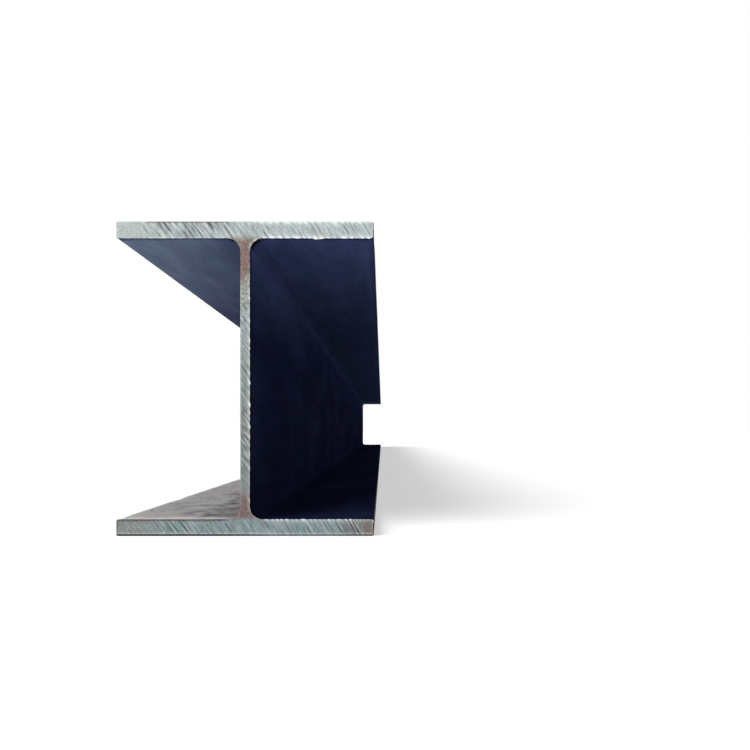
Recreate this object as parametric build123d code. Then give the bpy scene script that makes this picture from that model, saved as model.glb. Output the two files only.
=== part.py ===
from build123d import *
import os

# A hot-rolled steel H-beam: one straight bar with two parallel flanges joined by a web,
# sawn square at both ends. It is rolled as one piece, so it is one solid.
#
# Frame, in millimetres: +Y runs along the beam, +X across the flanges, +Z up the web.
# The origin is the middle of the lower flange's underside, halfway along the beam,
# so the beam stands on its lower flange.

# Rolled section
beam_depth = 310.0  # over both flanges
flange_width = 254.0
flange_thickness = 16.3
web_thickness = 9.1
root_radius = 13.0  # fillet where each side of the web runs into a flange
toe_radius = 1.5  # the rolls leave the flange tips with eased corners

# Stock length, between the two saw cuts
beam_length = 6000.0


def rolled_section():
    """The section's outline: X across the flanges, Y up the web, the lower flange's underside at Y 0."""
    flange = Rectangle(flange_width, flange_thickness)
    lower_flange = Pos(0, flange_thickness / 2) * flange
    upper_flange = Pos(0, beam_depth - flange_thickness / 2) * flange
    web = Pos(0, beam_depth / 2) * Rectangle(web_thickness, beam_depth - flange_thickness)
    outline = lower_flange + web + upper_flange

    root_corners = outline.vertices().filter_by(at_the_web)
    outline = fillet(root_corners, root_radius)
    toe_corners = outline.vertices().filter_by(at_a_flange_tip)
    return fillet(toe_corners, toe_radius)


def at_the_web(corner):
    """True for the four corners between the web and a flange."""
    return abs(corner.X) < (web_thickness + flange_width) / 4


def at_a_flange_tip(corner):
    """True for the eight corners at the flange tips."""
    return abs(abs(corner.X) - flange_width / 2) < toe_radius / 2


def h_beam():
    """The section carried along the beam, half the length each way from the origin."""
    return extrude(Plane.XZ * rolled_section(), amount=beam_length / 2, both=True)


os.makedirs("parts", exist_ok=True)
export_step(h_beam(), "parts/h_beam.step")
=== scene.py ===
"""A hot-rolled steel H-beam with mill scale on its rolled faces and two sawn ends, on a plain stage.

The bar runs along Y, its web stands along Z and its flanges reach across X. It lies on its lower
flange at height 0, and its near sawn end is at the lowest Y. Lengths are in metres.
"""

import math
from types import SimpleNamespace

import bpy
import numpy as np
from bpy.props import FloatProperty, FloatVectorProperty, IntProperty, PointerProperty
from bpy.types import Operator, Panel, PropertyGroup
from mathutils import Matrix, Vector


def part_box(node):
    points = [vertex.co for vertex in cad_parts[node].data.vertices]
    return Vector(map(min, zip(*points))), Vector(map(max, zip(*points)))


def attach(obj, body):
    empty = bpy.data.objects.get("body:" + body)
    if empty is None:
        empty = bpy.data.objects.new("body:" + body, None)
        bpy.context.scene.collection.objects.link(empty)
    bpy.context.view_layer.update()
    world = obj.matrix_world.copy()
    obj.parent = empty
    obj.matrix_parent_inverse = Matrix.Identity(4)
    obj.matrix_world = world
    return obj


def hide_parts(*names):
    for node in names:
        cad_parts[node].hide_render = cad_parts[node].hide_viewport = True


bl_info = {
    "name": "Rolled Steel H-Beam",
    "version": (1, 0, 0),
    "blender": (4, 5, 0),
    "location": "View3D > Sidebar > H-Beam",
    "description": "Builds a rolled bar with mill scale and sawn ends, and a plain stage",
    "category": "Add Mesh",
}

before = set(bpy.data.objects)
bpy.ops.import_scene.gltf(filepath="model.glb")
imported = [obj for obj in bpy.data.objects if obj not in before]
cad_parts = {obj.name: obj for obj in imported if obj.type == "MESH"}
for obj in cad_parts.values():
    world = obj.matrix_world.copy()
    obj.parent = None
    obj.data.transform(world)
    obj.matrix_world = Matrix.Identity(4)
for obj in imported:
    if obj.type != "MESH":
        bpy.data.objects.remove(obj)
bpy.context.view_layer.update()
bar_low, bar_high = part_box("h_beam")
flange_width = bar_high.x - bar_low.x
bar_length = bar_high.y - bar_low.y
bar_depth = bar_high.z - bar_low.z


def rolled_section(solid):
    """Flange and web thickness, root fillet and toe rounding, read from the corners of the solid."""
    corners = np.empty(len(solid.data.vertices) * 3)
    solid.data.vertices.foreach_get("co", corners)
    across, _, height = corners.reshape(-1, 3).T
    across = np.abs(across)
    hair = 1e-5
    lower_half = height < bar_depth / 2
    flange = height[lower_half & (across > flange_width / 3)].max()
    web = 2 * across.min()
    root = height[lower_half & (across < web / 2 + hair)].min() - flange
    toe = flange_width / 2 - across[height < hair].max()
    return [float(size) for size in (flange, web, root, toe)]


flange_thickness, web_thickness, root_radius, toe_radius = rolled_section(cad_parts["h_beam"])


def shade(red, green, blue):
    """A colour as a screen shows it, 0 to 255, turned into the linear values that shaders take."""
    values = np.array((red, green, blue)) / 255
    linear = np.where(values < 0.04045, values / 12.92, ((values + 0.055) / 1.055) ** 2.4)
    return tuple(float(value) for value in linear)


def length(name, description, default):
    """A property that holds a length."""
    return FloatProperty(name=name, description=description, default=default, unit="LENGTH", precision=5)


def colour(name, description, default):
    """A property that holds a colour."""
    return FloatVectorProperty(name=name, description=description, default=default, subtype="COLOR")


class BeamSection(PropertyGroup):
    """The rolled section, apart from the overall sizes that the frame holds."""

    flange: length("Flange thickness", "Thickness of both flanges", flange_thickness)
    web: length("Web thickness", "Thickness of the web", web_thickness)
    root: length("Root radius", "Fillet where the web meets a flange", root_radius)
    toe: length("Toe radius", "Rounding of the flange tips", toe_radius)


class BeamMesh(PropertyGroup):
    """How finely the bar's surfaces are divided."""

    face_step: length("Sawn face step", "Distance between points of a sawn end", 0.0009)
    skin_step: length("Skin step", "Distance between points round the rolled skin", 0.0125)
    rings: IntProperty(name="Rings", description="Sections along the rolled skin", default=280, min=8)
    junction_columns: IntProperty(
        name="Web columns", description="Steps across the web and its fillets", default=26, min=4
    )


class BeamSawing(PropertyGroup):
    """The marks and the burr that the saw leaves on an end."""

    upper_pitch: length("Upper mark pitch", "Height from mark to mark on the upper flange", 0.0076)
    web_pitch: length("Web mark pitch", "Height from mark to mark on the web", 0.0064)
    lower_pitch: length("Lower mark pitch", "Height from mark to mark on the lower flange", 0.0058)
    mark_depth: length("Mark depth", "Depth of a full tooth mark where the gain is 1", 0.0004)
    burr: length("Burr", "How far the burr stands out of the rolled faces", 0.0009)
    fall: FloatProperty(name="Fall", description="Drop of a mark for each metre across", default=1.42)
    bend: FloatProperty(name="Bend", description="Change of that drop for each metre across", default=2.2)


class BeamFinish(PropertyGroup):
    """Colours of the mill scale, the dust, the sawn steel and the rust, with painted light and shade among
    them.
    """

    oxide: colour("Oxide", "Fresh mill scale", shade(24, 29, 54))
    worn_oxide: colour("Worn oxide", "Mill scale where it is thin", shade(34, 41, 68))
    # Painted light: paler oxide under the upper flange near the ends, where light reaches in
    painted_light_oxide: colour("High oxide", "Mill scale under the upper flange, near an end", shade(70, 82, 124))
    slate: colour("Slate", "Weathered scale on the left of the web", shade(80, 86, 97))
    scuffed: colour("Scuffed scale", "Scale rubbed off the flange tips", shade(112, 113, 114))
    # Partly painted shade: the dark band behind a cut and the dark bottom edge of the sawn end
    edge_oxide_and_shade: colour("Edge oxide", "Mill scale just behind the saw cut", shade(13, 13, 17))
    # Partly painted light: weathered scale that also stands for the light on the left side and near the ends
    bloom_and_painted_light: colour("Bloom", "Scale that has stood open to the weather", shade(134, 150, 174))
    dust: colour("Dust", "Dust and grit that lie on the scale", shade(192, 188, 184))
    old_dust: colour("Old dust", "Dark dirt that shows between the dust", shade(104, 97, 101))
    pale_dust: colour("Pale dust", "Cuttings that lie just behind the saw cut", shade(232, 229, 222))
    # Painted light and shade: sawn steel paler at the top and darker low down
    upper_steel_and_light: colour("Pale steel", "Sawn steel at the top of the end", shade(172, 182, 182))
    grey_steel: colour("Grey steel", "Sawn steel along the web", shade(126, 133, 132))
    lower_steel_and_shade: colour("Dull steel", "Sawn steel on the lower flange", shade(131, 145, 148))
    # Partly painted shade: dark in the tooth marks and along the rims; real dirt in the scratches and the
    # grit
    grime_and_shade: colour("Grime", "Grime in the tooth marks and along the rim", shade(74, 70, 64))
    # Painted highlight on the burr and on the crests of the tooth marks, and the pale line along the bottom
    # edge
    bright: colour("Bright steel", "Burnished steel on the burr", shade(226, 232, 234))
    lip: colour("Lip", "Steel turned over along the web's edges", shade(178, 173, 178))
    olive: colour("Olive stain", "Stain in the tooth marks below the upper root", shade(138, 136, 108))
    fresh_rust: colour("Fresh rust", "Orange rust in streaks and on one edge", shade(176, 134, 104))
    rust: colour("Rust", "Light rust on the sawn steel", shade(136, 109, 101))
    dark_rust: colour("Dark rust", "Older rust", shade(86, 70, 66))


class StageLight(PropertyGroup):
    """The floor and the light."""

    floor: colour("Floor", "Floor and surroundings", (0.86, 0.86, 0.86))
    sky: FloatProperty(name="Sky", description="Strength of the light from all round", default=0.36)
    key: FloatProperty(name="Key", description="Strength of the soft light from the left", default=2.3)


groups = (BeamSection, BeamMesh, BeamSawing, BeamFinish, StageLight)
group_names = ("beam_section", "beam_mesh", "beam_sawing", "beam_finish", "beam_stage")

# Shape of the section

# Steps round the rounding of a flange tip, and round a root fillet
toe_steps, root_steps = 4, 12
# Steps that become one on a coarse line, round a corner and up the edge of a flange
round_joined, edge_joined = 2, 8
# Steps of a coarse line across the web and its fillets
coarse_columns = 3


def even(start, end, step):
    """Points at an even distance near step, with both ends."""
    return np.linspace(start, end, max(1, math.ceil((end - start) / step)) + 1)


def quarter_round(radius, steps):
    """A quarter circle in equal turns: how far each point has climbed, and how far it is off the side."""
    turn = np.linspace(0, np.pi / 2, steps + 1)
    return radius * (1 - np.cos(turn)), radius * (1 - np.sin(turn))


def thinned(stretches):
    """Flags the points that a coarse line keeps.

    A stretch is its number of steps, and how many of them become one.
    """
    start, kept = 0, [0]
    for steps, joined in stretches:
        kept.extend(start + np.linspace(0, steps, max(1, round(steps / joined)) + 1).round().astype(int))
        start += steps
    flags = np.zeros(start + 1, bool)
    flags[kept] = True
    return flags


def rounded_rows(low, high, radius, steps, face_step, joined):
    """Rows from low to high with a round at both ends: heights, how far in or out it reaches, kept rows.

    Between the rounds, the given number of joined steps becomes one on a coarse line.
    """
    climb, reach = quarter_round(radius, steps)
    side = even(low + radius, high - radius, face_step)[1:-1]
    heights = np.concatenate((low + climb, side, high - climb[::-1]))
    kept = thinned(((steps, round_joined), (len(side) + 1, joined), (steps, round_joined)))
    return heights, np.concatenate((reach, 0 * side, reach[::-1])), kept


def flange_columns(section, mesh):
    """Columns across a flange: shares of its half width, which of them are the web's, kept ones."""
    inner_half = flange_width / 2 - section.toe
    root_half = section.web / 2 + section.root
    outer = even(root_half, inner_half, mesh.face_step) / inner_half
    middle = np.linspace(-outer[0], outer[0], mesh.junction_columns + 1)
    columns = np.concatenate((-outer[::-1], middle[1:-1], outer))
    first = len(outer) - 1
    side = (first, mesh.skin_step / mesh.face_step)
    kept = thinned((side, (mesh.junction_columns, mesh.junction_columns / coarse_columns), side))
    return columns, slice(first, first + mesh.junction_columns + 1), kept


def sawn_face(section, mesh):
    """The section as three grids of points, lower flange, web and upper flange, that share their edges.

    A point lies at its column's share of its row's half width, and at its row's height. Each grid holds
    point numbers, rows from below and columns from the left, as seen from the near end.
    """
    step = mesh.face_step
    heights, short, kept_rows = rounded_rows(0, section.flange, section.toe, toe_steps, step, edge_joined)
    columns, junction, kept_columns = flange_columns(section, mesh)
    flange_x = (flange_width / 2 - short)[:, None] * columns
    flange_z = heights[:, None] + 0 * columns
    web_heights, flare, kept_web = rounded_rows(
        section.flange, bar_depth - section.flange, section.root, root_steps, step, mesh.skin_step / step
    )
    web_columns = np.linspace(-1, 1, mesh.junction_columns + 1)
    web_x = (section.web / 2 + flare)[:, None] * web_columns
    web_z = web_heights[:, None] + 0 * web_columns

    lower = np.arange(flange_x.size).reshape(flange_x.shape)
    upper = lower + lower.size
    web = np.empty(web_x.shape, int)
    web[0] = lower[-1, junction]
    web[-1] = upper[0, junction]
    web[1:-1] = 2 * lower.size + np.arange(web[1:-1].size).reshape(web[1:-1].shape)

    flange_kept = np.zeros(lower.shape, bool)
    flange_kept[[0, -1]] = kept_columns
    flange_kept[:, [0, -1]] |= kept_rows[:, None]
    web_kept = np.zeros(web.shape, bool)
    web_kept[:, [0, -1]] = kept_web[:, None]

    upper_z = bar_depth - flange_z[::-1]
    x = np.concatenate((flange_x.ravel(), flange_x[::-1].ravel(), web_x[1:-1].ravel()))
    z = np.concatenate((flange_z.ravel(), upper_z.ravel(), web_z[1:-1].ravel()))
    kept = np.concatenate((flange_kept.ravel(), flange_kept[::-1].ravel(), web_kept[1:-1].ravel()))
    outline = outline_points(lower, web, upper, junction)
    return SimpleNamespace(x=x, z=z, lower=lower, web=web, upper=upper, outline=outline, kept=kept[outline])


def outline_points(lower, web, upper, junction):
    """Numbers of the points round the section, anticlockwise as seen from the near end, each once."""
    left, right = junction.start, junction.stop - 1
    return np.concatenate(
        (
            lower[0],
            lower[1:, -1],
            lower[-1, -2:right:-1],
            web[:, -1],
            upper[0, right + 1 :],
            upper[1:, -1],
            upper[-1, -2::-1],
            upper[-2::-1, 0],
            upper[0, 1:left],
            web[::-1, 0],
            lower[-1, left - 1 :: -1],
            lower[-2:0:-1, 0],
        )
    )


def outward(x, z):
    """Unit normals of a closed anticlockwise outline.

    Each is the chord from the point before to the point after, turned a quarter outward.
    """
    run, climb = np.roll(x, -1) - np.roll(x, 1), np.roll(z, -1) - np.roll(z, 1)
    size = np.hypot(run, climb)
    return climb / size, -run / size


# Marks that the saw leaves

# What each point of an end knows of the marks, as attributes with "saw_" before the name
mark_names = ("groove", "crest", "rim", "gain")
# Marks repeat after this many
mark_kinds = 256
# Over about this length a mark comes and goes, on the upper flange, the web and the lower flange
upper_run, web_run, lower_run = 0.004, 0.0016, 0.003
# Sways that make the marks uneven: how many marks wide, and how many marks to a radian
mark_sways = ((0.35, 1.7), (0.2, 0.77))
# Middle and reach of a mark's groove and crest, and of a lump of the burr, as shares of their spacing
groove_part, crest_part, lump_part = (0.40, 0.34), (0.84, 0.34), (0.5, 0.42)
# Lumps of the burr stand this many marks apart
lump_spacing = 1.4
# Gain of the tooth marks' depth by height, from the lower flange over the web to the upper flange
gain_heights = (0.016, 0.045, 0.265, 0.294)
gains = (0.62, 0.52, 0.78, 0.87)
most_gain = 2.0
# Spots where the tooth marks are deeper or are wiped smooth: place across and up, reach, gain
mark_spots = (
    (-0.058, 0.302, 0.032, 0.55),
    (-0.126, 0.302, 0.034, -0.95),
    (0.050, 0.302, 0.025, -0.2),
    (-0.064, 0.008, 0.020, 0.35),
    (-0.118, 0.008, 0.026, -0.2),
    (0.000, 0.008, 0.026, 0.1),
    (0.070, 0.008, 0.030, 0.15),
    (0.107, 0.008, 0.010, 1.9),
    (0.127, 0.008, 0.009, -0.9),
    (0.000, 0.105, 0.025, 0.3),
    (0.000, 0.268, 0.020, -0.7),
    (0.000, 0.035, 0.022, -0.5),
)
# Painted shade, partly grimy, and the burr's painted highlight reach about this far in from the rim
rim_reach = 0.0017
# Share of the burr that is left at each height, least near the web's two roots
burr_heights = (0.016, 0.03, 0.09, 0.14, 0.20, 0.28, 0.294)
burr_left = (1.0, 0.35, 0.55, 1.0, 0.6, 0.35, 1.0)
# One tear on the inner edge of the upper flange: place across, reach, height
tear_across, tear_reach, tear_height = 0.072, 0.0045, 0.0011


def smooth_step(low, high, values):
    """0 at low, 1 at high, and an S between them."""
    part = np.clip((values - low) / (high - low), 0, 1)
    return part * part * (3 - 2 * part)


def ridge(part, centre, reach):
    """A rounded peak of height 1 at centre that ends at reach on both sides."""
    near = np.clip(1 - np.abs(part - centre) / reach, 0, 1)
    return near * near * (3 - 2 * near)


def tooth_tracks(x, z, pitch, run, sawing, seed):
    """Grooves, crests and lumps of the tooth marks at points of a sawn end, each from 0 to 1.

    The blade's wide circle leaves marks that fall to the right ever more steeply: along a mark, z + x
    (fall + bend x / 2) stays the same. That sum, divided by the pitch and swayed by two sines, counts the
    marks. Each mark has its own strength, which comes and goes along it as a sine does, over about the run.
    """
    draw = np.random.default_rng(seed)
    level = (z + x * (sawing.fall + sawing.bend * x / 2)) / pitch
    counted = level
    for (size, spread), turn in zip(mark_sways, draw.uniform(0, 2 * np.pi, len(mark_sways))):
        counted = counted + size * np.sin(level / spread + turn)
    number = np.floor(counted).astype(int) % mark_kinds
    strengths = draw.uniform(0.4, 1, (2, mark_kinds))[:, number]
    turns = draw.uniform(0, 2 * np.pi, mark_kinds)[number]
    reaches = run * draw.uniform(0.55, 1.5, mark_kinds)[number]
    lumps = counted / lump_spacing
    lump_sizes = draw.uniform(0.2, 1, mark_kinds)[np.floor(lumps).astype(int) % mark_kinds]

    def lasting(turn):
        """What is left of a mark along it."""
        return np.clip(0.55 + 0.75 * np.sin(x / reaches + turn), 0, 1)

    groove = strengths[0] * lasting(turns) * ridge(counted % 1, *groove_part)
    crest = strengths[1] * lasting(2.1 * turns) * ridge(counted % 1, *crest_part)
    return np.stack((groove, crest, lump_sizes * ridge(lumps % 1, *lump_part)))


def saw_marks(x, z, section, sawing, seed):
    """Grooves, crests, lumps and gain of the marks over a whole sawn end.

    The marks of the upper flange, the web and the lower flange run into each other over the root fillets,
    and the gain follows the height and the spots.
    """
    on_upper = tooth_tracks(x, z, sawing.upper_pitch, upper_run, sawing, seed)
    on_web = tooth_tracks(x, z, sawing.web_pitch, web_run, sawing, seed + 1)
    on_lower = tooth_tracks(x, z, sawing.lower_pitch, lower_run, sawing, seed + 2)
    above = smooth_step(0, section.root, z - section.flange)
    below = smooth_step(0, section.root, bar_depth - section.flange - z)
    marks = on_upper + (on_web - on_upper) * below
    marks = on_lower + (marks - on_lower) * above
    gain = np.interp(z, gain_heights, gains)
    for across, up, reach, strength in mark_spots:
        gain += strength * np.exp(-((x - across) ** 2 + (z - up) ** 2) / reach**2)
    gain = np.clip(gain, 0, most_gain)
    return marks[0] * gain, marks[1] * gain, marks[2], gain


def rim_distance(x, z, section):
    """Distance of the points of a sawn end from its outline."""
    across, from_outer = np.abs(x), np.minimum(z, bar_depth - z)
    root_half = section.web / 2 + section.root
    to_inner = np.hypot(section.flange - from_outer, np.clip(root_half - across, 0, None))
    in_flange = np.minimum(np.minimum(from_outer, to_inner), flange_width / 2 - across)
    fillet_left = np.clip(section.flange + section.root - from_outer, 0, section.root)
    half = root_half - np.sqrt(np.clip(section.root**2 - fillet_left**2, 0, None))
    return np.clip(np.where(from_outer <= section.flange, in_flange, half - across), 0, None)


def rim_tone(x, z, lump, section):
    """Tone of the rim, below 0 for painted shade, partly grimy, and above 0 for a painted highlight on the
    burr.

    The burr gets its painted highlight where the teeth leave the steel, towards the right and the top. Both
    sides' tones run straight from height to height, and an S across the middle joins them. The upper left
    tip's rim is hardly darkened.
    """
    flange_inner, web_low = section.flange, section.flange + section.root
    web_high, flange_high = bar_depth - web_low, bar_depth - flange_inner
    heights = (0, flange_inner, web_low, 0.09, 0.13, 0.235, 0.262, web_high, flange_high, bar_depth)
    left = np.interp(z, heights, (-0.9, -1.0, -0.3, -0.1, -0.1, -0.1, -0.5, -0.5, 0.45, -0.9))
    right = np.interp(z, heights, (-0.5, 0.85, 0.3, 0.45, 1.0, 0.7, 0.15, 0.2, 1.7, 1.7))
    faint_rim_tip = smooth_step(-0.085, -0.108, x) * smooth_step(0.28, 0.3, z)
    left *= 1 - 0.85 * faint_rim_tip
    reach = np.interp(z, (flange_inner, web_low, web_high, flange_high), (0.03, 0.003, 0.003, 0.03))
    tone = left + (right - left) * smooth_step(-reach, reach, x)
    return tone * np.where(tone > 0, 0.3 + 1.6 * lump, 0.75 + 0.4 * lump)


def burr_height(x, z, out_x, out_z, lump, section, sawing):
    """How far the burr stands out of each point of the outline.

    The teeth leave the steel towards the right, so the burr is lumpy there and slight on the left. The
    bar's outer faces keep their size, so there the lumps are what is left between small nicks.
    """
    leaving = np.clip(0.25 + 0.6 * out_x + 0.5 * smooth_step(-0.02, 0.1, x), 0.1, 1)
    proud = sawing.burr * leaving * (0.15 + lump) * np.interp(z, burr_heights, burr_left)
    from_tear = (x - tear_across) ** 2 + (z - (bar_depth - section.flange)) ** 2
    proud = proud + tear_height * np.exp(-from_tear / tear_reach**2)
    faces_out = (np.abs(out_z) > 0.5) & (np.minimum(z, bar_depth - z) < section.flange / 2)
    faces_out |= np.abs(x) > flange_width / 2 - 2 * section.toe
    nicked = proud - sawing.burr * (leaving + 0.25)
    return np.where(faces_out, np.minimum(nicked, 0), proud)


# Shape of the skin

dent_count = 60
dent_depths = (0.0002, 0.0007)
dent_reaches = (0.012, 0.035)
# Dents fade over this distance from their own tip
dent_round = 0.006
roll_wave = 0.00012
wave_lengths = (0.31, 0.53, 0.97)
# The coarse rings begin this far behind a saw cut
skin_start = 0.009
# How much the rings crowd at the ends
ring_crowding = 0.55
# Seeds of the waves, of the dents and of the near and far ends' marks
wave_seed, dent_seed, near_seed, far_seed = 3, 5, 11, 29


def skin_dents(x, y, z, seed):
    """Depth of the knocks that the flange tips got in handling.

    Each is a bell over the distance along the bar from its middle, and fades away from its own tip.
    """
    draw = np.random.default_rng(seed)
    middles = draw.uniform(-bar_length / 2, bar_length / 2, dent_count)
    reaches = draw.uniform(*dent_reaches, dent_count)
    depths = draw.uniform(*dent_depths, dent_count)
    tip_x = draw.choice((-1, 1), dent_count) * flange_width / 2
    tip_z = draw.choice((0, flange_thickness, bar_depth - flange_thickness, bar_depth), dent_count)
    along = np.exp(-(((y[:, None] - middles) / reaches) ** 2))
    from_tip = (x[:, None] - tip_x) ** 2 + (z[:, None] - tip_z) ** 2
    around = np.exp(-from_tip / dent_round**2)
    return np.einsum("rd,pd,d->rp", along, around, depths)


def skin_waves(walked, y, seed):
    """Depth of the slight waves that the straightening rolls leave.

    It is the sum of three sines along the bar, each of which turns with the way walked round it.
    """
    draw = np.random.default_rng(seed)
    deep = 0
    for wave_length in wave_lengths:
        turn, lean = draw.uniform(0, 2 * np.pi), draw.uniform(-6, 6)
        deep = deep + 1 + np.sin(2 * np.pi * y[:, None] / wave_length + turn + lean * walked[None])
    return roll_wave * deep / 6


def ring_places(mesh):
    """Places of the coarse rings along the bar, evenly spaced but for a sine that crowds them at the ends."""
    part = np.linspace(-1, 1, mesh.rings)
    return (bar_length / 2 - skin_start) * (part + ring_crowding * np.sin(np.pi * part) / np.pi)


# Faces, with their places on the bake map

ROLLED, SAWN = 0, 1
# Rings behind a sawn face: how far behind it, and the part of the burr that is left there
rim_rings = ((0.0009, 0.75), (0.0018, 0.3), (0.0036, 0))
# Rings of one end, the sawn face's outline among them
end_rings = 1 + len(rim_rings)
map_margin = 0.006
# Share of the map's height that the skin takes. The two ends' six strips share the rest
skin_share = 0.70
strip_count = 6
sharp_angle = 38


def corners_of(grid):
    """The four corners of each cell of a grid, anticlockwise where rows climb and columns run right."""
    cells = np.stack((grid[:-1, :-1], grid[:-1, 1:], grid[1:, 1:], grid[1:, :-1]), axis=2)
    return cells.reshape(-1, 4, *grid.shape[2:])


def map_places(along, across, low, high):
    """Map places of a grid in a full-width band from low to high: columns by along, rows by across."""
    u = map_margin + (1 - 2 * map_margin) * along
    v = low + (high - low) * across
    return np.stack(np.broadcast_arrays(u, v), axis=-1)


def strip_places(grid, face, strip, upright, far):
    """Map places of one part of a sawn end as a flat strip: flanges by their width, the web by its height."""
    height = (1 - skin_share) / strip_count
    low = skin_share + strip * height + map_margin / 2
    high = low + height - map_margin
    rows, columns = grid.shape
    if upright:
        along, across = face.z[grid], np.linspace(1, 0, columns)[None]
    else:
        along, across = face.x[grid], np.linspace(0, 1, rows)[:, None]
    along = (along - along.min()) / np.ptp(along)
    return map_places(1 - along if far else along, across, low, high)


def ring_map(share, numbers, mesh, far=False):
    """Map places of rings round the bar. Rings are counted from the near end, or from the far one."""
    last = mesh.rings + 2 * end_rings - 1
    rows = (last - numbers if far else numbers)[:, None] / last
    return map_places(share[None], rows, map_margin, skin_share - map_margin)


class BarParts:
    """Collects the bar's points with their saw marks, and its faces with their map places and finish."""

    def __init__(self):
        self.points, self.marks, self.faces, self.places, self.finishes = [], [], [], [], []
        self.count = 0

    def add_points(self, x, y, z, marks=(0, 0, 0, 0)):
        """Adds points with their groove, crest, rim and gain, and gives their numbers."""
        self.points.append(np.stack((x, y, z), axis=-1).reshape(-1, 3))
        self.marks.append(np.stack([np.broadcast_to(mark, x.shape).ravel() for mark in marks], axis=-1))
        numbers = self.count + np.arange(x.size).reshape(x.shape)
        self.count += x.size
        return numbers

    def add_faces(self, corners, places, finish, turned=False):
        """Adds faces of one finish. Turned faces list their corners the other way round."""
        if turned:
            corners, places = corners[:, ::-1], places[:, ::-1]
        self.faces.extend(corners.tolist())
        self.places.append(places.reshape(-1, 2))
        self.finishes.append(np.full(len(corners), finish))

    def mesh(self, name):
        """All that was collected, as a mesh."""
        mesh = bpy.data.meshes.new(name)
        mesh.from_pydata(np.concatenate(self.points), [], self.faces)
        layer = mesh.uv_layers.new(name="OFBake")
        layer.data.foreach_set("uv", np.concatenate(self.places).ravel())
        mesh.polygons.foreach_set("material_index", np.concatenate(self.finishes))
        mesh.shade_smooth()
        mesh.set_sharp_from_angle(angle=math.radians(sharp_angle))
        for mark, values in zip(mark_names, np.concatenate(self.marks).T):
            attribute = mesh.attributes.new(f"saw_{mark}", "FLOAT", "POINT")
            attribute.data.foreach_set("value", values.astype(np.float32))
        return mesh


def nearest_kept(kept):
    """For each point round the outline, and the first one again, the kept point that it belongs to."""
    places = np.append(np.flatnonzero(kept), len(kept))
    middles = (places[:-1] + places[1:]) / 2
    return np.searchsorted(middles, np.arange(len(kept) + 1), side="right")


def outline_of(face):
    """The line round a sawn face: points, outward normals, way walked, and share of it that is left.

    The kept points are those that the skin's rings have, and owners says which one each point belongs to.
    """
    x, z = face.x[face.outline], face.z[face.outline]
    out_x, out_z = outward(x, z)
    steps = np.hypot(np.diff(x, append=x[0]), np.diff(z, append=z[0]))
    walked = np.concatenate(([0], np.cumsum(steps)))
    line = SimpleNamespace(x=x, z=z, out_x=out_x, out_z=out_z, walked=walked, share=1 - walked / walked[-1])
    line.kept, line.owners = np.flatnonzero(face.kept), nearest_kept(face.kept)
    return line


def zip_rings(bar, fine, fine_places, coarse, coarse_places, owners, turned):
    """Joins a ring of many points to one of few. Both name their first point again at the end.

    Each fine edge makes a triangle with the coarse point that owns it, or a quad where its two ends
    belong to neighbouring coarse points.
    """
    start, end = owners[:-1], owners[1:]
    one, two = np.flatnonzero(start == end), np.flatnonzero(start != end)
    for pick, owning in ((one, (start[one],)), (two, (end[two], start[two]))):
        corners = (fine[pick], fine[pick + 1], *(coarse[owner] for owner in owning))
        places = (fine_places[pick], fine_places[pick + 1], *(coarse_places[owner] for owner in owning))
        bar.add_faces(np.stack(corners, axis=1), np.stack(places, axis=1), ROLLED, turned)


def add_skin(bar, line, mesh):
    """Adds the coarse rings from end to end, and gives their numbers and their map places."""
    kept, along = line.kept, ring_places(mesh)
    deep = skin_waves(line.walked[kept], along, wave_seed)
    deep = deep + skin_dents(line.x[kept], along, line.z[kept], dent_seed)
    y = np.broadcast_to(along[:, None], deep.shape)
    rings = bar.add_points(line.x[kept] - line.out_x[kept] * deep, y, line.z[kept] - line.out_z[kept] * deep)
    rings = np.column_stack((rings, rings[:, :1]))
    places = ring_map(np.append(line.share[kept], 0), end_rings + np.arange(mesh.rings), mesh)
    bar.add_faces(corners_of(rings), corners_of(places), ROLLED, turned=True)
    return rings, places


def add_end(bar, face, line, section, mesh, sawing, far, seed):
    """Adds a sawn face and the rings behind it, which carry the burr. Gives the rings and their places.

    The far end is the near one turned half round, with marks of its own.
    """
    sight, end_y, inwards = (-1, bar_high.y, -1) if far else (1, bar_low.y, 1)
    groove, crest, lump, gain = saw_marks(sight * face.x, face.z, section, sawing, seed)
    rim = np.exp(-rim_distance(face.x, face.z, section) / rim_reach)
    inset = sawing.mark_depth * (groove + 0.35 * (1 - lump) * rim)
    rim *= rim_tone(sight * face.x, face.z, lump, section)
    round_lump, round_rim = lump[face.outline], rim[face.outline]
    burr = burr_height(
        sight * line.x, line.z, sight * line.out_x, line.out_z, round_lump, section, sawing
    )
    x, z = face.x.copy(), face.z.copy()
    x[face.outline] += line.out_x * burr
    z[face.outline] += line.out_z * burr
    numbers = bar.add_points(x, end_y + inwards * inset, z, (groove, crest, rim, gain))
    rings = [numbers[face.outline]]
    for behind, part in rim_rings:
        y = np.full(line.x.shape, end_y + inwards * behind)
        x, z = line.x + line.out_x * burr * part, line.z + line.out_z * burr * part
        rings.append(bar.add_points(x, y, z, (0, 0, part * round_rim, 0)))
    rings = np.array(rings)
    rings = np.column_stack((rings, rings[:, :1]))

    for strip, grid in enumerate((face.lower, face.web, face.upper)):
        places = strip_places(grid, face, strip + 3 * far, grid is face.web, far)
        bar.add_faces(corners_of(numbers[grid]), corners_of(places), SAWN, turned=far)
    places = ring_map(line.share, np.arange(end_rings), mesh, far)
    bar.add_faces(corners_of(rings[:2]), corners_of(places[:2]), SAWN, turned=not far)
    bar.add_faces(corners_of(rings[1:]), corners_of(places[1:]), ROLLED, turned=not far)
    return rings, places


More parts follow.
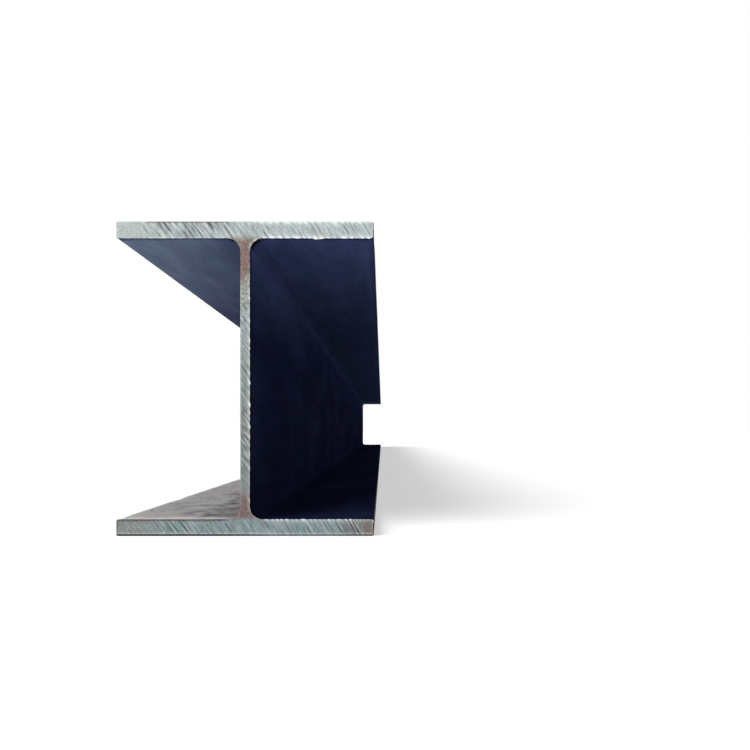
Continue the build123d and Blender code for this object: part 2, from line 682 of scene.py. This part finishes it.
def bar_mesh(section, mesh, sawing):
    """The whole bar as one closed mesh: a skin from end to end, and at each end a sawn face zipped to it."""
    face = sawn_face(section, mesh)
    line = outline_of(face)
    bar = BarParts()
    skin, skin_places = add_skin(bar, line, mesh)
    for far, seed, edge in ((False, near_seed, 0), (True, far_seed, -1)):
        rings, places = add_end(bar, face, line, section, mesh, sawing, far, seed)
        zip_rings(bar, rings[-1], places[-1], skin[edge], skin_places[edge], line.owners, turned=not far)
    return bar.mesh("rolled_bar")


# Steps of a finish


def node(tree, kind, inputs=None, **settings):
    """Adds a node to the right of the others, sets it up, and gives each input a number or a link."""
    made = tree.nodes.new(kind)
    made.location = (190 * len(tree.nodes), 0)
    for name, setting in settings.items():
        setattr(made, name, setting)
    for name, given in (inputs or {}).items():
        if isinstance(given, Value):
            tree.links.new(given.socket, made.inputs[name])
        else:
            made.inputs[name].default_value = given
    return made


def maths(operation, turned=False):
    """A method that takes one step of arithmetic with a value, which comes second where it is turned."""

    def step(value, other=0.0):
        first, second = (other, value) if turned else (value, other)
        return Value(node(value.tree, "ShaderNodeMath", {0: first, 1: second}, operation=operation))

    return step


class Value:
    """What comes out of a shader node. Each step of arithmetic with it adds a node to its tree."""

    __add__, __sub__, __rsub__ = maths("ADD"), maths("SUBTRACT"), maths("SUBTRACT", turned=True)
    __mul__, __rtruediv__, __pow__ = maths("MULTIPLY"), maths("DIVIDE", turned=True), maths("POWER")
    __abs__, sign, most = maths("ABSOLUTE"), maths("SIGN"), maths("MAXIMUM")

    def __init__(self, made, output=0):
        self.tree, self.socket = made.id_data, made.outputs[output]

    def rise(self, low, high, start=0.0, end=1.0):
        """An S from start at low to end at high."""
        inputs = {"Value": self, "From Min": low, "From Max": high, "To Min": start, "To Max": end}
        return Value(node(self.tree, "ShaderNodeMapRange", inputs, interpolation_type="SMOOTHSTEP"))

    def band(self, rising, falling):
        """An S up over one stretch and an S down over another."""
        return self.rise(*rising) * self.rise(*falling)

    def apart(self):
        """The three numbers of a position."""
        made = node(self.tree, "ShaderNodeSeparateXYZ", {0: self})
        return [Value(made, part) for part in range(3)]

    def scaled(self, factors):
        """A position stretched by three factors."""
        return Value(node(self.tree, "ShaderNodeVectorMath", {0: self, 1: factors}, operation="MULTIPLY"))

    def noise(self, scale, detail, roughness=0.5):
        """Cloudy noise from 0 to 1 at a position."""
        inputs = {"Vector": self, "Scale": scale, "Detail": detail, "Roughness": roughness}
        return Value(node(self.tree, "ShaderNodeTexNoise", inputs), "Fac")

    def lightened(self, factor):
        """A colour made lighter or darker by a factor."""
        return Value(node(self.tree, "ShaderNodeHueSaturation", {"Value": factor, "Color": self}))


def place(tree, *parts):
    """Three numbers as one position."""
    return Value(node(tree, "ShaderNodeCombineXYZ", dict(enumerate(parts))))


def rgba(tint):
    """A colour as a shader takes it, with a fourth value. One that comes out of a node stays as it is."""
    return tint if isinstance(tint, Value) else (*tint, 1.0)


def mixed(tree, amount, under, over, how="MIX"):
    """One colour laid over another by an amount from 0 to 1."""
    inputs = {0: amount, 6: rgba(under), 7: rgba(over)}
    return Value(node(tree, "ShaderNodeMix", inputs, data_type="RGBA", blend_type=how), 2)


# Effects that both finishes use


def effect_group(name, outputs, **inputs):
    """A new node group, given the kinds of its sockets: its tree and the values that come in."""
    tree = bpy.data.node_groups.new(name, "ShaderNodeTree")
    for side, sockets in (("INPUT", inputs), ("OUTPUT", outputs)):
        for socket, kind in sockets.items():
            tree.interface.new_socket(socket, in_out=side, socket_type=f"NodeSocket{kind}")
    made = node(tree, "NodeGroupInput")
    return tree, [Value(made, socket) for socket in inputs]


def patches_group():
    """Soft patches: noise of the given size, cut off so that about the given share of it is covered."""
    tree, (position, size, share, softness) = effect_group(
        "Patches", {"Mask": "Float"}, Position="Vector", Size="Float", Share="Float", Softness="Float"
    )
    edge = 0.72 - share * 0.44
    mask = position.noise(1.0 / size, 5.0, 0.58).rise(edge - softness, edge + softness)
    node(tree, "NodeGroupOutput", {"Mask": mask})
    return tree


def lines_group():
    """Fine lines: noise at two sizes, drawn out because the position that comes in is stretched."""
    tree, (position, size) = effect_group("Drawn lines", {"Lines": "Float"}, Position="Vector", Size="Float")
    broad, narrow = position.noise(1.0 / size, 2.0), position.noise(3.1 / size, 2.0)
    node(tree, "NodeGroupOutput", {"Lines": (narrow * 0.8 + broad).rise(0.62, 1.18)})
    return tree


def grain_group():
    """Fine grain as a height: noise with small round pits."""
    tree, (position, size) = effect_group("Grain", {"Height": "Float"}, Position="Vector", Size="Float")
    pits = Value(node(tree, "ShaderNodeTexVoronoi", {"Vector": position, "Scale": 0.6 / size}), "Distance")
    height = pits.rise(0.0, 0.35) * 0.35 + position.noise(1.0 / size, 4.0)
    node(tree, "NodeGroupOutput", {"Height": height})
    return tree


def rust_group(look):
    """Rust laid over a colour by a mask: light rust with darker specks, and darker all over with age."""
    tree, (position, below, mask, age) = effect_group(
        "Rust", {"Color": "Color"}, Position="Vector", Color="Color", Mask="Float", Age="Float"
    )
    specks = position.noise(420.0, 4.0)
    tone = mixed(tree, specks.rise(0.5, 0.72, end=0.6) + age, look.rust, look.dark_rust)
    tone = tone.lightened(specks.rise(0.36, 0.64, 1.22, 0.8))
    node(tree, "NodeGroupOutput", {"Color": mixed(tree, mask, below, tone)})
    return tree


class Finish:
    """A material whose colour is laid on in layers, with the shared effects in it."""

    def __init__(self, name, effects=None, **uniform):
        """Starts with an empty material. Uniform values go to the shader, with _ for a space in names."""
        self.material = bpy.data.materials.new(name)
        self.material.use_nodes = True
        self.tree = self.material.node_tree
        self.tree.nodes.clear()
        values = {socket.replace("_", " "): value for socket, value in uniform.items()}
        self.shader = node(self.tree, "ShaderNodeBsdfPrincipled", values)
        node(self.tree, "ShaderNodeOutputMaterial", {"Surface": Value(self.shader)})
        self.position = Value(node(self.tree, "ShaderNodeTexCoord"), "Object")
        self.effects, self.colour = effects, None

    def effect(self, group, **inputs):
        """What one of the shared effects gives here."""
        return Value(node(self.tree, "ShaderNodeGroup", inputs, node_tree=group))

    def patches(self, position, size, share, softness):
        """A mask of soft patches."""
        group = self.effects.patches
        return self.effect(group, Position=position, Size=size, Share=share, Softness=softness)

    def lines(self, position, size):
        """Fine lines from 0 to 1."""
        return self.effect(self.effects.lines, Position=position, Size=size)

    def grain(self, size):
        """The height of fine grain."""
        return self.effect(self.effects.grain, Position=self.position, Size=size)

    def cover(self, amount, tint, how="MIX"):
        """Lays a colour over the layers so far, by an amount from 0 to 1."""
        self.colour = mixed(self.tree, amount, self.colour, tint, how)

    def stain(self, amount, tint):
        """Multiplies the layers so far by a colour, by an amount from 0 to 1."""
        self.cover(amount, tint, "MULTIPLY")

    def lighten(self, factor):
        """Makes the layers so far lighter or darker by a factor."""
        self.colour = self.colour.lightened(factor)

    def rust(self, mask, age):
        """Lays rust over the layers so far."""
        given = {"Position": self.position, "Color": self.colour, "Mask": mask, "Age": age}
        self.colour = self.effect(self.effects.rust, **given)

    def surface(self, height, strength, distance, **values):
        """Gives the shader its colour, a bump of the given height and other values by name."""
        inputs = {"Height": height, "Strength": strength, "Distance": distance}
        bump = node(self.tree, "ShaderNodeBump", inputs)
        for name, value in {"Base Color": self.colour, "Normal": Value(bump), **values}.items():
            self.tree.links.new(value.socket, self.shader.inputs[name])
        return self.material


# Mill scale

# Sizes of its patches of thin oxide, weathering, mottling and tinges, of its grain and its roller lines
thin_size, cloud_size, mottle_size, tinge_size = 0.07, 0.11, 0.018, 0.035
scale_grain, roller_size = 0.0022, 0.0045
# Sizes of the patches of dust and grit, of the freckles of rust and of the regions that have them
dust_size, grit_size, freckle_size, region_size = 0.02, 0.0065, 0.012, 0.3
# Patterns run along the bar, because lengths along it count for this share when they are looked up
oxide_along, mottle_along, roller_along = 0.22, 0.14, 0.012
# Distances from a saw cut over which the paler oxide and the pale weathered scale, both partly painted light,
# fade, and over which the inner tinge comes in
oxide_light_reach, bloom_light_reach, tinge_reach = (0.05, 1.0), (0.08, 0.75), (0.12, 0.6)
# Heights over which the oxide gets paler with painted light, and depths below the top face over which the top
# begins
oxide_light_heights, top_depths = (0.17, 0.295), (0.003, 0.001)
# Places across over which the left side gets pale weathered scale with painted light, and dust; the right
# side stays dark as painted shade
lit_bloom_across, dust_side_across = (0.002, -0.118), (0.002, -0.026)
# Distances from the web over which dust comes in, and over which it closes up. On the top face every
# point counts as at least as far out as top_dust
dust_reach, closed_reach, top_dust = (0.01, 0.07), (0.03, 0.11), 0.05
# Distances from a saw cut over which powder begins and ends, and over which the dark band ends
powder_start, powder_end, dark_end = (0.006, 0.010), (0.075, 0.024), (0.020, 0.013)
# Tinges of the scale, each a colour that it is multiplied by
purple_tinge, green_tinge, inner_tinge = (1.0, 0.92, 0.98), (0.92, 1.0, 0.98), (1.0, 0.88, 0.97)
# How far in from the flange's outermost point its tip is rubbed: where that begins, and where it is full
tip_rub = (0.0018, 0.001)


def skin_masks(skin):
    """Distances, directions and patches that the layers of the mill scale share."""
    x, y, z = skin.position.apart()
    facing = Value(node(skin.tree, "ShaderNodeNewGeometry"), "Normal").apart()
    sideways, facing_up = abs(facing[0]), facing[2].rise(0.35, 0.9)
    on_top = z.rise(*(bar_depth - depth for depth in top_depths))
    # Where dust and freckles may lie: the top and the left; the right side is left dark as painted shade
    dust_not_shade_part = on_top.most(x.rise(*dust_side_across))
    drawn_out = skin.position.scaled((1.0, oxide_along, 1.0))
    mottled = skin.position.scaled((1.0, mottle_along, 1.0))
    return SimpleNamespace(
        x=x,
        z=z,
        from_web=abs(x),
        from_cut=bar_length / 2 - abs(y),
        facing=facing,
        sideways=sideways,
        facing_up=facing_up,
        on_top=on_top,
        dust_not_shade_part=dust_not_shade_part,
        dust_not_shade_faces=facing_up * dust_not_shade_part,
        round_fillet=sideways.band((0.05, 0.3), (0.99, 0.9)),
        drawn_out=drawn_out,
        mottled=mottled,
        cloudy=skin.patches(drawn_out, cloud_size, share=0.6, softness=0.2),
        mottle=skin.patches(mottled, mottle_size, share=0.5, softness=0.25),
    )


def lay_oxide(skin, look, at):
    """Blue-black oxide, paler high up towards the ends as painted light, partly weathering, where light
    reaches in.

    Gives the mask of the thin patches.
    """
    thin = skin.patches(at.drawn_out, thin_size, share=0.42, softness=0.12)
    skin.colour = mixed(skin.tree, thin * 0.6, look.oxide, look.worn_oxide)
    # Painted light, partly weathering: paler oxide on downward faces high up near the ends
    near_end = at.from_cut.rise(*oxide_light_reach, 1.0, at.facing[2].rise(0.0, -0.7, 0.15, 0.45))
    turned_down = at.facing[2].rise(0.3, -0.7, 0.62, 0.95)
    high_up = at.z.rise(*oxide_light_heights) ** 1.8 * (1.0 - at.round_fillet * 0.4)
    skin.cover(high_up * near_end * turned_down, look.painted_light_oxide)
    return thin


def weather_scale(skin, look, at):
    """Bloom on the left flanges and slate on the web, partly weathering and partly painted light; the right
    stays dark as painted shade. All flange tips are scuffed.
    """
    weathered = at.cloudy.rise(0.0, 1.0, 0.78, 0.97)
    lit_bloom_side = at.x.rise(*lit_bloom_across) ** 0.47
    # Painted light with weathering on the left, most near the ends; the right side keeps its dark oxide as
    # painted shade
    skin.cover(lit_bloom_side * weathered * at.from_cut.rise(*bloom_light_reach, 1.0, 0.26), look.bloom_and_painted_light)
    skin.stain(lit_bloom_side * at.from_cut.rise(*tinge_reach), inner_tinge)
    skin.cover(at.facing[0].rise(-0.3, -0.8, 0.0, 0.75) * weathered, look.slate)
    skin.cover(at.facing[0].rise(-0.3, -0.7) * at.facing[2].rise(-0.1, -0.5) * 0.3, look.bloom_and_painted_light)
    at_tip = at.from_web.rise(*(flange_width / 2 - inset for inset in tip_rub))
    skin.cover(at_tip * 0.7, look.edge_oxide_and_shade)
    skin.cover(at_tip * at.sideways.rise(0.9, 0.98) * weathered, look.scuffed)


def roll_scale(skin, at):
    """Mottling, a faint tinge of green and purple, grain and roller lines. Gives their height."""
    skin.lighten(at.mottle.rise(0.0, 1.0, 0.9, 1.12))
    tinge = skin.patches(at.mottled, tinge_size, share=0.5, softness=0.2)
    skin.stain(1.0, mixed(skin.tree, tinge, purple_tinge, green_tinge))
    grain = skin.grain(scale_grain)
    skin.lighten(grain.rise(0.45, 1.1, 0.88, 1.14))
    roller = skin.lines(skin.position.scaled((1.0, roller_along, 1.0)), roller_size)
    skin.lighten(roller.rise(0.0, 1.0, 0.97, 1.03))
    return roller * 0.5 + grain


def lay_dust(skin, look, at):
    """Dust where the bar faces up, on the top and on the left, thicker towards the tips, with streaks of
    grit.

    On the right it leaves the dark oxide as painted shade.
    Gives the mask of the settled patches and that of all the dust.
    """
    blown = skin.position.scaled(place(skin.tree, 1.0, 0.35 - at.on_top * 0.25, 1.0))
    settled = skin.patches(blown, dust_size, share=0.62, softness=0.14)
    outwards = at.from_web.most(at.on_top * top_dust)
    towards_tip = outwards.rise(*closed_reach, 0.1, 0.75)
    thick = (settled * (1.0 - towards_tip) + towards_tip) * outwards.rise(*dust_reach, 0.45, 1.0)
    lying = mixed(skin.tree, thick, look.old_dust, look.dust)
    gritty = skin.patches(blown, grit_size, share=0.2, softness=0.05) * (0.65 - at.on_top * 0.45)
    lying = mixed(skin.tree, gritty, lying, look.grime_and_shade)
    dusty = at.dust_not_shade_faces * thick.rise(0.0, 1.0, 0.8 - at.on_top * 0.4, 0.93 - at.on_top * 0.25)
    skin.cover(dusty, lying)
    return settled, dusty


def freckle_scale(skin, at):
    """Freckles of rust in some regions of the top and left faces; the right stays dark as painted shade.
    Gives their mask.
    """
    freckles = skin.patches(at.drawn_out, freckle_size, share=0.1, softness=0.04)
    regions = skin.patches(at.drawn_out, region_size, share=0.4, softness=0.1)
    spotted = freckles * regions * at.dust_not_shade_part * at.facing[2].rise(-0.3, 0.2) * 0.55
    skin.rust(spotted, 0.4)
    return spotted


def mark_cut(skin, look, at, settled):
    """Behind a saw cut comes a dark band, wider on the web and darker on the fillets, partly oxide and partly
    painted shade behind the burr, and a pale one where dust can lie.
    """
    ragged = settled * 0.003 + at.from_cut
    uneven = at.cloudy * 0.018 + at.mottle * 0.020 + ragged
    powdered = ragged.rise(*powder_start) * uneven.rise(*powder_end) * (0.92 - at.on_top * 0.35)
    skin.cover(at.dust_not_shade_faces * powdered, look.pale_dust)
    ragged = ragged + at.mottle * 0.006 - at.sideways * 0.009 + at.facing_up * 0.008
    # The dark band: oxide and painted shade behind the burr, stronger on the fillets
    skin.cover(ragged.rise(*dark_end) * (at.round_fillet * 0.5 + 0.4), look.edge_oxide_and_shade)


def mill_scale(look, effects):
    """Rolled faces: blue-black oxide with roller lines, paler where it stood open, dusty on top."""
    skin = Finish("Mill scale", effects, Specular_IOR_Level=0.0)
    at = skin_masks(skin)
    thin = lay_oxide(skin, look, at)
    weather_scale(skin, look, at)
    height = thin * 0.6 + roll_scale(skin, at)
    settled, dusty = lay_dust(skin, look, at)
    spotted = freckle_scale(skin, at)
    mark_cut(skin, look, at, settled)
    roughness = dusty.most(spotted) * 0.25 + thin.rise(0.0, 1.0, 0.62, 0.7)
    return skin.surface(height, 0.5, 0.0004, Roughness=roughness)


# Sawn steel

# Sizes of its strokes, scratches and runs of rust, and of its grain
stroke_size, scratch_size, run_size, cut_grain = 0.0024, 0.0015, 0.0022, 0.0011
# Sizes of its broken, green and purple patches, of its specks and of the blotches of the left tip
broken_size, green_size, purple_size, speck_size, blotch_size = 0.0032, 0.009, 0.007, 0.0024, 0.006
# Heights over which the lower steel, darker with painted shade, turns grey, and over which grey turns pale
# with painted light
steel_shade_heights, steel_light_heights = (0.012, 0.05), (0.1, 0.3)
# Heights on a sawn end over which a layer comes in, and over which it goes again
lower_rust = ((0.014, 0.021), (0.048, 0.034))
upper_rust = ((0.243, 0.264), (0.298, 0.289))
olive_web = ((0.218, 0.236), (0.276, 0.262))
speckled_web = ((0.19, 0.225), (0.285, 0.27))
lipped_web = ((0.02, 0.035), (0.29, 0.275))
lower_line = ((0.0014, 0.0022), (0.0038, 0.0028))
# Height over which what lies on the lower flange alone comes in
lower_flange_only = (0.03, 0.02)
# Places across and up over which the beige of the upper left tip comes in
beige_across, beige_up = (-0.07, -0.115), (0.28, 0.294)
# Places across over which the lower tips' rust comes in, on the right in two steps, and the orange edge
left_rust, right_rust, far_right_rust = (-0.07, -0.124), (0.094, 0.1), (0.113, 0.119)
right_edge = (0.1250, 0.1268)
# Places across where the lips lie on the web's edges
right_lip, left_lip = (0.0028, 0.0040), (-0.0030, -0.0038)
# Casts of the steel, each a colour that it is multiplied by
green_cast, purple_cast, beige_cast = (0.87, 0.98, 0.95), (0.99, 0.91, 0.98), (0.98, 0.95, 0.91)


def end_masks(steel, sawing):
    """Places, saw marks and lines that the layers of the sawn steel share.

    The far end is the near one turned half round, so there x runs the other way. Along a tooth mark,
    z + x (fall + bend x / 2) stays the same, and the strokes run along it too.
    """
    x, y, z = steel.position.apart()
    x = x * y.sign() * -1.0
    along_track = place(steel.tree, x * (x * (sawing.bend / 2) + sawing.fall) + z, x * 0.3, y * 0.1)
    marks = {}
    for name in mark_names:
        marks[name] = Value(node(steel.tree, "ShaderNodeAttribute", attribute_name=f"saw_{name}"), "Fac")
    return SimpleNamespace(
        x=x,
        z=z,
        from_middle=abs(x),
        on_lower=z.rise(*lower_flange_only),
        along_track=along_track,
        strokes=steel.lines(along_track, stroke_size),
        grain=steel.grain(cut_grain),
        **marks,
    )


def brush_steel(steel, look, at):
    """Steel that gets paler upwards as painted light and shade, a little darker towards the middle, with
    light strokes and dark scratches along the tooth marks.
    """
    # Painted shade low down and painted light high up
    steel.colour = mixed(steel.tree, at.z.rise(*steel_shade_heights), look.lower_steel_and_shade, look.grey_steel)
    steel.cover(at.z.rise(*steel_light_heights), look.upper_steel_and_light)
    steel.lighten(at.from_middle.rise(0.01, 0.07, 0.95, 1.0))
    steel.lighten((at.strokes - 0.5) * at.gain * 0.5 + 1.0)
    scratches = steel.lines(at.along_track, scratch_size)
    steel.cover(scratches.rise(0.6, 0.9) * at.gain * 0.4, look.grime_and_shade)
    steel.lighten(at.grain.rise(0.45, 1.1, 0.84, 1.16))
    broken = steel.patches(steel.position, broken_size, share=0.5, softness=0.1)
    steel.lighten(broken.rise(0.0, 1.0, 0.94, 1.05))


def tint_steel(steel, at):
    """Faint green and purple patches, strongest on the lower flange."""
    tinted = at.z.rise(0.05, 0.02, 0.65, 1.0)
    green = steel.patches(steel.position, green_size, share=0.45, softness=0.12)
    steel.stain(green * tinted, green_cast)
    purple = steel.patches(at.along_track, purple_size, share=0.3, softness=0.08)
    steel.stain(purple * tinted, purple_cast)


def shade_marks(steel, look, at):
    """Painted highlight on the crests, painted shade in the grooves with some dirt, and darker where the
    marks are deep.
    """
    steel.lighten(at.gain.rise(0.75, 1.7, 1.0, 0.86))
    # Painted highlight on the crests, then painted shade in the grooves
    steel.cover(at.crest * 0.5, look.bright)
    steel.lighten(at.groove.rise(0.0, 0.9, 1.0, 0.3))
    steel.cover(at.groove * 0.3, look.grime_and_shade)


def speckle_steel(steel, look, at):
    """Olive specks below the upper root, lighter and darker ones round them, and a beige upper left tip."""
    specks = steel.patches(steel.position, speck_size, share=0.55, softness=0.1)
    steel.cover(at.z.band(*olive_web) * specks * 0.7, look.olive)
    speckled = at.z.band(*speckled_web) * at.from_middle.rise(0.03, 0.012)
    steel.lighten(speckled * (0.5 - specks) * 0.5 + 1.0)
    steel.stain(at.x.rise(*beige_across) * at.z.rise(*beige_up), beige_cast)


def rust_steel(steel, look, at):
    """Rust at the web's two roots and at the lower right tip, and olive blotches on the lower left one.

    The rust runs in upright streaks, and is older low down, and on the right high up. Gives its mask.
    """
    # The lower limit of the upper root's rust climbs to the right
    leaning = at.x * -1.4 + at.z
    upper_root = leaning.rise(*upper_rust[0]) * at.z.rise(*upper_rust[1])
    at_roots = at.from_middle.rise(0.024, 0.012) * (upper_root + at.z.band(*lower_rust))
    right_tip = at.on_lower * (at.x.rise(*right_rust, end=0.25) + at.x.rise(*far_right_rust, end=0.6))
    blotches = steel.patches(steel.position, blotch_size, share=0.6, softness=0.2)
    left_tip = at.x.rise(*left_rust) * at.on_lower * blotches * 0.5
    runs = steel.lines(steel.position.scaled((1.0, 0.1, 0.14)), run_size)
    stained = (at_roots + right_tip + left_tip) * runs.rise(0.1, 0.75, 0.8, 1.0)
    older_right = at.z.rise(0.1, 0.2) * at.x.rise(-0.003, 0.003, end=0.3)
    steel.cover(left_tip * 0.5, look.olive)
    steel.rust(stained, at.z.rise(0.1, 0.04, end=0.3) + runs.rise(0.2, 0.8, 0.4, -0.25) + older_right)
    tip_edge = at.x.rise(*right_edge) * at.on_lower * 0.4
    orange = stained * at.from_middle.rise(0.008, 0.004) * runs.rise(0.6, 0.95)
    steel.cover(orange * at.z.rise(0.2, 0.05, 0.15, 0.55) + tip_edge, look.fresh_rust)
    return stained


def turn_lips(steel, look, at):
    """A lip of turned steel up both edges of the web, fainter on the right near the top."""
    right = at.x.rise(*right_lip) * at.z.rise(0.262, 0.235, 0.1, 1.0) * 0.3
    steel.cover(at.z.band(*lipped_web) * (right + at.x.rise(*left_lip, end=0.3)), look.lip)


def finish_rim(steel, look, at):
    """Painted highlight on the burr, painted shade along the other rims, partly grimy, and at the very bottom
    a dark edge, painted contact shadow and partly grimy, with a pale line above it.
    """
    # Painted highlight where the rim tone is above 0, painted shade where it is below
    steel.cover(at.rim.most(0.0) * 0.85, look.bright)
    steel.cover(at.rim.rise(-0.1, -0.6, 0.0, 0.9), look.grime_and_shade)
    steel.cover(at.z.band(*lower_line) * at.strokes.rise(0.25, 0.7, 0.1, 0.34), look.bright)
    # Painted contact shadow along the very bottom edge, with some dirt
    steel.cover(at.z.rise(0.0023, 0.0014) * at.x.rise(0.05, -0.04, 0.45, 1.0), look.edge_oxide_and_shade)


def sawn_steel(look, sawing, effects):
    """Sawn ends: pale steel with fine scratches along the tooth marks, grime in them and light rust."""
    steel = Finish("Sawn steel", effects)
    at = end_masks(steel, sawing)
    brush_steel(steel, look, at)
    tint_steel(steel, at)
    shade_marks(steel, look, at)
    speckle_steel(steel, look, at)
    stained = rust_steel(steel, look, at)
    turn_lips(steel, look, at)
    finish_rim(steel, look, at)
    metallic = stained.rise(0.0, 1.0, 0.45, 0.1)
    roughness = stained * 0.3 + at.strokes.rise(0.0, 1.0, 0.52, 0.4)
    return steel.surface(at.grain * 0.5 + at.strokes, 0.6, 0.0003, Metallic=metallic, Roughness=roughness)


# Floor and sky

white = (1.0, 1.0, 1.0)
# Light that the floor gives off by itself where it is seen
floor_glow = 0.42


def seen_mask(tree):
    """1 where the camera looks, by itself, in mirror images or through glass, and 0 for other light."""
    path = node(tree, "ShaderNodeLightPath")
    seen = Value(path, "Is Camera Ray").most(Value(path, "Is Glossy Ray"))
    return seen.most(Value(path, "Is Transmission Ray"))


def floor_finish(look):
    """A plain pale floor that is seen as white, with the bar's soft shadow left on it."""
    floor = Finish(
        "Plain floor",
        Base_Color=rgba(look.floor),
        Roughness=0.9,
        Specular_IOR_Level=0.0,
        Emission_Color=rgba(white),
    )
    glow = seen_mask(floor.tree) * floor_glow
    floor.tree.links.new(glow.socket, floor.shader.inputs["Emission Strength"])
    return floor.material


# Making the pieces


def link_piece(name, mesh, materials):
    """A mesh as an object at the origin."""
    piece = bpy.data.objects.new(name, mesh)
    for material in materials:
        mesh.materials.append(material)
    bpy.context.scene.collection.objects.link(piece)
    return piece


class BEAM_OT_bar(Operator):
    """Build the rolled bar with its sawn ends"""

    bl_idname = "beam.bar"
    bl_label = "Rolled bar"

    def execute(self, context):
        scene = context.scene
        look, sawing = scene.beam_finish, scene.beam_sawing
        effects = SimpleNamespace(
            patches=patches_group(), lines=lines_group(), grain=grain_group(), rust=rust_group(look)
        )
        mesh = bar_mesh(scene.beam_section, scene.beam_mesh, sawing)
        bar = link_piece("rolled_bar", mesh, (mill_scale(look, effects), sawn_steel(look, sawing, effects)))
        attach(bar, "root")
        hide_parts("h_beam")
        return {"FINISHED"}


# The view: the bar's end lies square to the lens, whose axis runs along the bar

frame_pixels = 750
pixels_per_metre = 1015
eye_distance = 1.0
# Where the bar's lines meet in the picture, the column of the end's middle and the row of the floor
vanishing_point = (382, 432)
end_middle_column = 244.9
floor_row = 536.1
sensor_width = 36

key_azimuth = -40
key_elevation = 38
key_spread = 40
floor_reach = 120
# Lines of points on the floor, each way
floor_lines = 9


def stage_camera():
    """The camera, square to the sawn end, shifted so that the bar's lines meet at the vanishing point."""
    camera = bpy.data.cameras.new("end_view")
    camera.sensor_width = sensor_width
    camera.lens = sensor_width * pixels_per_metre * eye_distance / frame_pixels
    centre = frame_pixels / 2
    camera.shift_x = (centre - vanishing_point[0]) / frame_pixels
    camera.shift_y = (vanishing_point[1] - centre) / frame_pixels
    camera.clip_end = 2 * floor_reach
    eye = bpy.data.objects.new("end_view", camera)
    eye.location = (
        (vanishing_point[0] - end_middle_column) / pixels_per_metre,
        bar_low.y - eye_distance,
        (floor_row - vanishing_point[1]) / pixels_per_metre,
    )
    eye.rotation_euler = (math.pi / 2, 0, 0)
    bpy.context.scene.collection.objects.link(eye)
    bpy.context.scene.camera = eye


def stage_key(strength):
    """A broad soft light from the left of the camera."""
    lamp = bpy.data.lights.new("soft_key", "SUN")
    lamp.energy = strength
    lamp.angle = math.radians(key_spread)
    key = bpy.data.objects.new("soft_key", lamp)
    azimuth, elevation = math.radians(key_azimuth), math.radians(key_elevation)
    level = math.cos(elevation)
    towards = Vector((math.sin(azimuth) * level, -math.cos(azimuth) * level, math.sin(elevation)))
    key.rotation_euler = towards.to_track_quat("Z", "Y").to_euler()
    bpy.context.scene.collection.objects.link(key)


def stage_sky(strength):
    """Even light from all round, which the camera and mirror images see as white."""
    world = bpy.data.worlds.new("pale_room")
    bpy.context.scene.world = world
    world.use_nodes = True
    tree = world.node_tree
    tree.nodes.clear()
    light = seen_mask(tree) * (1 - strength) + strength
    background = node(tree, "ShaderNodeBackground", {"Color": rgba(white), "Strength": light})
    node(tree, "ShaderNodeOutputWorld", {"Surface": Value(background)})


class BEAM_OT_stage(Operator):
    """Build the floor, the light and the camera"""

    bl_idname = "beam.stage"
    bl_label = "Stage"

    def execute(self, context):
        look = context.scene.beam_stage
        context.scene.view_settings.view_transform = "Standard"
        side = np.linspace(-floor_reach, floor_reach, floor_lines)
        x, y = np.meshgrid(side, side)
        cells = corners_of(np.arange(x.size).reshape(x.shape))
        mesh = bpy.data.meshes.new("floor")
        mesh.from_pydata(np.stack((x, y, 0 * x), axis=-1).reshape(-1, 3), [], cells.tolist())
        link_piece("floor", mesh, [floor_finish(look)])
        stage_key(look.key)
        stage_sky(look.sky)
        stage_camera()
        return {"FINISHED"}


class BEAM_PT_panel(Panel):
    """Lists the pieces of the H-beam and their settings"""

    bl_idname = "BEAM_PT_panel"
    bl_label = "H-Beam"
    bl_space_type = "VIEW_3D"
    bl_region_type = "UI"
    bl_category = "H-Beam"

    def draw(self, context):
        for operator in operators:
            self.layout.operator(operator.bl_idname)
        for group, name in zip(groups, group_names):
            settings = self.layout.box()
            settings.label(text=group.__doc__)
            for value in group.__annotations__:
                settings.prop(getattr(context.scene, name), value)


operators = (BEAM_OT_bar, BEAM_OT_stage)
classes = (*groups, *operators, BEAM_PT_panel)


def register():
    for each in classes:
        bpy.utils.register_class(each)
    for group, name in zip(groups, group_names):
        setattr(bpy.types.Scene, name, PointerProperty(type=group))


def unregister():
    for name in group_names:
        delattr(bpy.types.Scene, name)
    for each in reversed(classes):
        bpy.utils.unregister_class(each)


def main():
    """Registers the classes, and builds the bar and the stage."""
    register()
    bpy.ops.beam.bar()
    bpy.ops.beam.stage()


if __name__ == "__main__":
    main()
